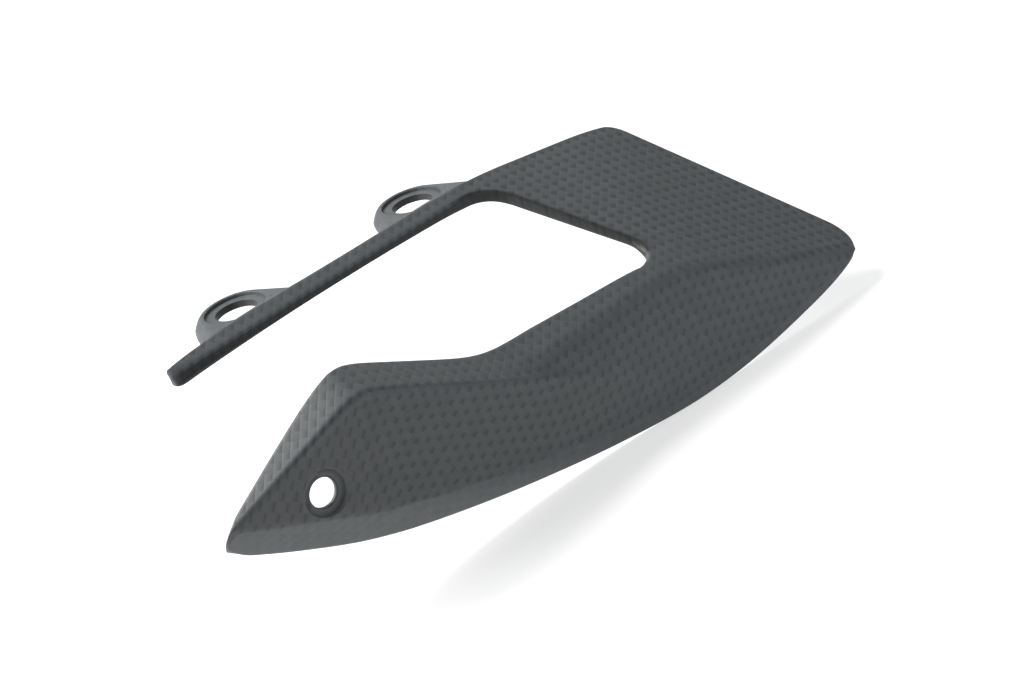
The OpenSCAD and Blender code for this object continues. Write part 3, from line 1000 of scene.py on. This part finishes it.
def makeWeave():
    material = bpy.data.materials.new("carbonWeave")
    material.use_nodes = True
    tree = material.node_tree
    shader = tree.nodes["Principled BSDF"]

    def node(kind, **values):
        made = tree.nodes.new(kind)
        for key, value in values.items():
            setattr(made, key, value)
        return made

    def feed(socket, value):
        if isinstance(value, (int, float, tuple)):
            socket.default_value = value
        else:
            tree.links.new(value, socket)

    def maths(kind, a, b=None, c=None):
        made = node("ShaderNodeMath", operation=kind)
        for k, value in enumerate((a, b, c)):
            if value is not None:
                feed(made.inputs[k], value)
        return made.outputs[0]

    def vectors(kind, a, b=None, c=None):
        made = node("ShaderNodeVectorMath", operation=kind)
        for k, value in enumerate((a, b, c)):
            if value is not None:
                feed(made.inputs["Scale" if kind == "SCALE" and k == 1 else k], value)
        return made.outputs[0]

    def product(*factors):
        whole = factors[0]
        for factor in factors[1:]:
            whole = maths("MULTIPLY", whole, factor)
        return whole

    def parts(vector):
        made = node("ShaderNodeSeparateXYZ")
        feed(made.inputs[0], vector)
        return made.outputs

    def ramp(value, limits):
        made = node("ShaderNodeMapRange", interpolation_type="SMOOTHSTEP")
        for k, part in enumerate((value,) + limits):
            feed(made.inputs[k], part)
        return made.outputs[0]

    def keep(value, share):
        # 1 where value is 0, falling to 1 - share where it is 1
        return maths("MULTIPLY_ADD", value, -share, 1.0)

    def falling(value, shape):
        power, share = shape
        return keep(maths("POWER", value, power), share)

    def mark(name):
        return node("ShaderNodeAttribute", attribute_name=name).outputs["Fac"]

    # the cloth's place in tows, turned to the weave's angle and wandering a little
    cloth = node("ShaderNodeUVMap", uv_map="cloth").outputs[0]
    drift = node("ShaderNodeTexNoise", noise_dimensions="3D")
    feed(drift.inputs["Vector"], cloth)
    feed(drift.inputs["Scale"], weave["driftScale"])
    feed(drift.inputs["Detail"], 1)
    turned = node("ShaderNodeVectorRotate", rotation_type="Z_AXIS")
    feed(turned.inputs["Vector"], vectors("MULTIPLY_ADD", drift.outputs["Color"],
                                          (weave["drift"], weave["drift"], 0), cloth))
    feed(turned.inputs["Angle"], math.radians(weave["turn"]))
    scaled = vectors("SCALE", turned.outputs[0], clothUnit / weave["tow"])
    p, q = parts(scaled)[:2]
    cellP = maths("FLOOR", p)
    cellQ = maths("FLOOR", q)
    # parity is 0 where the tow along P lies on top, 1 where the one along Q does;
    # the 2000 keeps the sum above 0
    parity = maths("MODULO", maths("ADD", maths("ADD", cellP, cellQ), 2000.0), 2.0)
    overP = maths("SUBTRACT", 1.0, parity)
    # -1 to 1 over each cell, and its square
    fp = maths("MULTIPLY_ADD", maths("FRACT", p), 2.0, -1.0)
    fq = maths("MULTIPLY_ADD", maths("FRACT", q), 2.0, -1.0)
    acrossP = maths("MULTIPLY", fp, fp)
    acrossQ = maths("MULTIPLY", fq, fq)

    def pillow(alongSquare, acrossSquare):
        return product(falling(alongSquare, weave["lengthWise"]),
                       falling(acrossSquare, weave["sideWise"]))

    def choose(a, b):
        made = node("ShaderNodeMix", data_type="FLOAT")
        feed(made.inputs[0], parity)
        feed(made.inputs[2], a)
        feed(made.inputs[3], b)
        return made.outputs[0]

    def filaments(scale):
        grain = node("ShaderNodeTexNoise", noise_dimensions="2D")
        feed(grain.inputs["Vector"], vectors("MULTIPLY", scaled, scale))
        feed(grain.inputs["Scale"], 1)
        feed(grain.inputs["Detail"], 2)
        return grain.outputs[0]

    height = choose(pillow(acrossP, acrossQ), pillow(acrossQ, acrossP))
    along, over = weave["strand"]
    strands = choose(filaments((along, over, 1)), filaments((over, along, 1)))

    # painted marks on each cell: shade in the ovals, at the dives and at the roots, highlights at
    # the rises and the crowns
    inside = falling(acrossQ, weave["inside"])
    corner = maths("MULTIPLY_ADD", acrossQ, weave["ovalFlat"], acrossP)
    ovalShade = product(overP, ramp(corner, weave["ovalShade"]))
    dive = product(overP, ramp(fp, weave["dive"]), ramp(fp, weave["diveEnd"]), inside)
    rise = product(overP, ramp(fp, weave["rise"]), inside)
    crown = product(parity, ramp(fq, weave["crown"]))
    root = product(parity, ramp(fq, weave["root"]))
    # the ovals' painted shade shows on faces turned up, and the dips' painted shade is weaker there
    upward = ramp(parts(node("ShaderNodeNewGeometry").outputs["True Normal"])[2], weave["upward"])
    clear = mark("ovalShade")
    woven = maths("MULTIPLY_ADD", maths("MINIMUM", clear, 0.0), weave["plain"], 1.0)

    cellNumber = node("ShaderNodeCombineXYZ")
    feed(cellNumber.inputs[0], cellP)
    feed(cellNumber.inputs[1], cellQ)
    chance = node("ShaderNodeTexWhiteNoise", noise_dimensions="3D")
    feed(chance.inputs[0], cellNumber.outputs[0])
    least, vary = weave["cell"]
    tone = maths("ADD", maths("MULTIPLY_ADD", chance.outputs[0], vary, least),
                 maths("MULTIPLY", strands, weave["strandTone"]))
    # the cell's own tone and filaments, times the weave's painted shade and highlights and the
    # shade mark
    tone = product(
        tone,
        keep(product(ovalShade, upward, maths("MAXIMUM", clear, 0.0)), weave["ovalShadeDark"]),
        keep(product(dive, keep(upward, weave["flat"]), woven), weave["diveShade"]),
        keep(root, weave["rootShade"]),
        maths("MULTIPLY_ADD", maths("ADD", rise, crown), weave["edgeHighlight"], 1.0),
        keep(mark("shade"), weave["shadeDark"]),
    )
    feed(shader.inputs["Base Color"], vectors("SCALE", weave["colour"], tone))
    feed(shader.inputs["Roughness"],
         maths("MULTIPLY_ADD", strands, weave["strandRough"], weave["rough"]))
    shader.inputs["Specular IOR Level"].default_value = weave["specular"]
    shader.inputs["Coat Weight"].default_value = weave["coat"]
    shader.inputs["Coat Roughness"].default_value = weave["rough"]

    bump = node("ShaderNodeBump")
    feed(bump.inputs["Strength"], weave["bump"])
    feed(bump.inputs["Distance"], weave["height"] * milli)
    feed(bump.inputs["Height"], maths("MULTIPLY_ADD", strands, weave["strandRelief"], height))
    feed(shader.inputs["Normal"], bump.outputs[0])
    return material


floorLook = {
    "z": -54.2,
    "size": 8.0,  # metres
    "colour": (0.4, 0.4, 0.4, 1),
    "glow": 0.6,
    "rough": 0.9,
    "specular": 0.1,
}


def makeFloor():
    deselect()
    bpy.ops.mesh.primitive_plane_add(size=floorLook["size"], location=(0, 0, 0))
    piece = addPiece("floor")
    edit(piece)
    bpy.ops.transform.translate(value=(0, 0, floorLook["z"] * milli))
    objectMode()
    material = bpy.data.materials.new("floorPaper")
    material.use_nodes = True
    shader = material.node_tree.nodes["Principled BSDF"]
    shader.inputs["Base Color"].default_value = floorLook["colour"]
    shader.inputs["Roughness"].default_value = floorLook["rough"]
    shader.inputs["Specular IOR Level"].default_value = floorLook["specular"]
    shader.inputs["Emission Color"].default_value = (1, 1, 1, 1)
    shader.inputs["Emission Strength"].default_value = floorLook["glow"]
    piece.data.materials.append(material)


# Round soft boxes that all look at the middle of the guard.
lamps = [
    {"name": "topLight", "place": (-350, 950, 1500), "size": 700, "power": 31,
     "colour": (1, 0.985, 0.965)},
    {"name": "leftLight", "place": (-380, 160, 260), "size": 300, "power": 4.2},
    {"name": "rearLight", "place": (400, -400, 130), "size": 300, "power": 0.4,
     "colour": (0.85, 0.98, 1.08)},
    {"name": "backLight", "place": (600, 500, 400), "size": 600, "power": 1.2},
]
aim = Vector((45, -30, -25 + lift)) * milli
# The world's level on the object, and as the camera sees it.
worldLevel = (0.42, 1.0)


def makeLights():
    for lamp in lamps:
        deselect()
        place = Vector(lamp["place"]) * milli
        bpy.ops.object.light_add(type="AREA", location=place)
        light = bpy.context.active_object
        light.name = lamp["name"]
        light.rotation_euler = (aim - place).to_track_quat("-Z", "Y").to_euler()
        light.data.shape = "DISK"
        light.data.size = lamp["size"] * milli
        light.data.energy = lamp["power"]
        light.data.color = lamp.get("colour", (1, 1, 1))
    world = bpy.data.worlds.new("studio")
    bpy.context.scene.world = world
    world.use_nodes = True
    tree = world.node_tree
    back = tree.nodes["Background"]
    back.inputs[0].default_value = (1, 1, 1, 1)
    path = tree.nodes.new("ShaderNodeLightPath")
    level = tree.nodes.new("ShaderNodeMapRange")
    level.inputs[3].default_value, level.inputs[4].default_value = worldLevel
    tree.links.new(path.outputs["Is Camera Ray"], level.inputs[0])
    tree.links.new(level.outputs[0], back.inputs[1])


# The photograph's viewpoint, with the ways to the right and up of its frame.
view = {
    "place": (-227.7, -467.8, 204.5),
    "right": (0.7281, -0.6197, -0.293),
    "up": (0.4819, 0.1589, 0.8617),
    "lens": 84.375,
    "sensor": 36,
    "clip": (0.01, 20),  # metres
}


def makeCamera():
    deselect()
    bpy.ops.object.camera_add()
    camera = bpy.context.active_object
    camera.name = "camera"
    right = Vector(view["right"]).normalized()
    up = Vector(view["up"])
    up = (up - right * up.dot(right)).normalized()
    back = right.cross(up)
    place = Vector(view["place"]) + Vector((0, 0, lift))
    turn = Matrix((right, up, back)).transposed().to_4x4()
    camera.matrix_world = Matrix.Translation(place * milli) @ turn
    camera.data.lens = view["lens"]
    camera.data.sensor_width = view["sensor"]
    camera.data.sensor_fit = "HORIZONTAL"
    camera.data.clip_start, camera.data.clip_end = view["clip"]
    bpy.context.scene.camera = camera


bpy.context.scene.view_settings.view_transform = "Standard"
makeCamera()
print("camera placed")
sheet = makeSheet()
print("sheet", len(sheet.data.polygons), "faces")
cut(sheet, makeHoleCutter())
print("hole cut", len(sheet.data.polygons), "faces")
frontEar = makeEar("frontEar", 0)
rearEar = makeEar("rearEar", ears["pitch"])
print("ears", len(frontEar.data.polygons), "faces each")
carbon = makeWeave()
for piece in (sheet, frontEar, rearEar):
    piece.data.materials.clear()
    piece.data.materials.append(carbon)
    smoothShade(piece)
    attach(piece, "root")
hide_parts("guard_shell")
makeFloor()
makeLights()
print("finish, floor and lights done")
